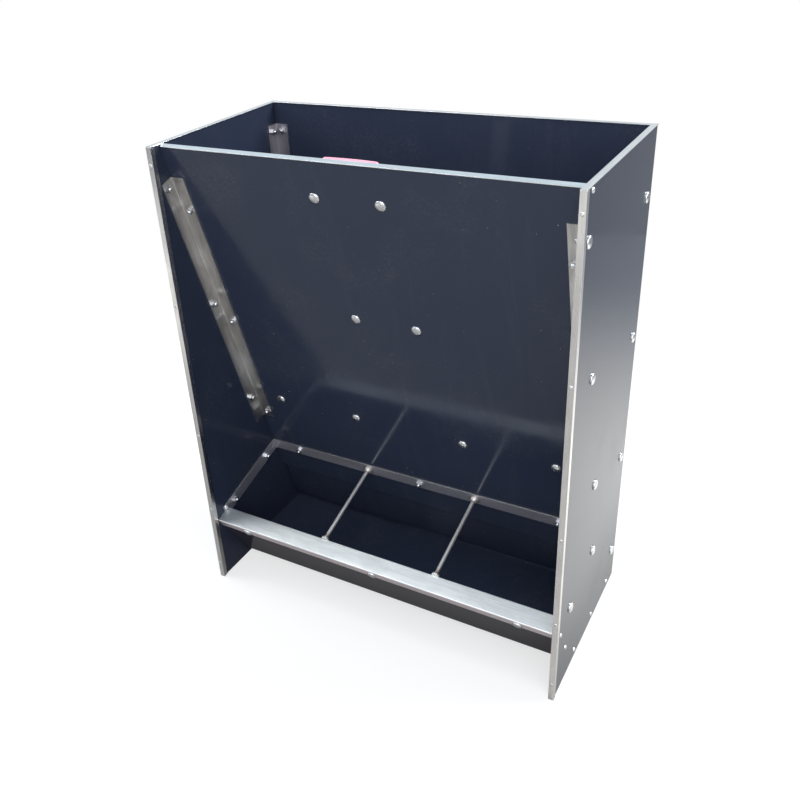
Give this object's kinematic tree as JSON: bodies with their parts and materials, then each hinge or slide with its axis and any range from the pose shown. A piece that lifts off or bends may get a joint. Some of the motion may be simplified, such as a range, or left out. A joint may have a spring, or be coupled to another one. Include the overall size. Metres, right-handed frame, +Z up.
{
  "type": "pig feeder",
  "caption": "Free-standing dry pig feeder of black plastic board with an open hopper, a sloped front, a trough with steel lip, guard bar and divider rods, and a sliding feed gate on a pull bar",
  "frame": {"origin": "centre of the bounding box at ground level", "axes": "+Z up, -Y towards the trough front, +X to the right of someone facing the trough"},
  "size_m": [0.8092, 0.402, 1],
  "materials": {
    "black_board": "glossy",
    "stainless_sheet": "brushed",
    "bright_fasteners": "bright",
    "red_grip": "satin"
  },
  "bodies": {
    "feeder_frame": {"left_side_panel": "black_board", "right_side_panel": "black_board", "back_panel": "black_board", "hopper_front_panel": "black_board", "trough_floor": "black_board", "trough_front_board": "black_board", "upper_guide_packing": "black_board", "lower_guide_packing": "black_board", "trough_lip": "stainless_sheet", "guard_bar": "stainless_sheet", "left_divider_rod": "stainless_sheet", "right_divider_rod": "stainless_sheet", "left_front_trim": "stainless_sheet", "right_front_trim": "stainless_sheet", "left_top_strip": "stainless_sheet", "right_top_strip": "stainless_sheet", "back_top_strip": "stainless_sheet", "front_top_strip": "stainless_sheet", "left_hopper_angle": "stainless_sheet", "right_hopper_angle": "stainless_sheet", "left_back_angle": "stainless_sheet", "right_back_angle": "stainless_sheet", "upper_guide_strap": "stainless_sheet", "lower_guide_strap": "stainless_sheet", "trim_rivets": "bright_fasteners", "guide_strap_bolts": "bright_fasteners", "guide_strap_nuts": "bright_fasteners", "lock_nut": "bright_fasteners", "gate_guide_bolts": "bright_fasteners", "gate_guide_nuts": "bright_fasteners", "gate_guide_washers": "bright_fasteners", "hopper_angle_side_bolts": "bright_fasteners", "hopper_angle_side_nuts": "bright_fasteners", "hopper_angle_panel_bolts": "bright_fasteners", "hopper_angle_panel_nuts": "bright_fasteners", "back_angle_side_bolts": "bright_fasteners", "back_angle_side_nuts": "bright_fasteners", "back_angle_rear_bolts": "bright_fasteners", "back_angle_rear_nuts": "bright_fasteners", "guard_side_bolts": "bright_fasteners", "guard_side_nuts": "bright_fasteners", "guard_end_screws": "bright_fasteners", "guard_rear_bolts": "bright_fasteners", "guard_rear_nuts": "bright_fasteners", "lip_bolts": "bright_fasteners", "lip_nuts": "bright_fasteners", "board_edge_screws": "bright_fasteners"},
    "gate_with_bar": {"feed_gate": "black_board", "pull_bar": "stainless_sheet", "adjuster_grip": "red_grip", "grip_pins": "bright_fasteners", "gate_bar_bolts": "bright_fasteners", "gate_bar_nuts": "bright_fasteners"},
    "lock": {"lock_screw": "bright_fasteners"}
  },
  "joints": [
    {"name": "gate_slide", "type": "slide", "parent": "feeder_frame", "child": "gate_with_bar", "axis": [0, -0.2798, 0.96], "range_m": [0, 0.06]},
    {"name": "lock_turn", "type": "hinge", "parent": "feeder_frame", "child": "lock", "pos_m": [-0.004, -0.12605, 0.93403], "axis": [0, 0.96, 0.2798], "range_deg": [0, 180]}
  ]
}
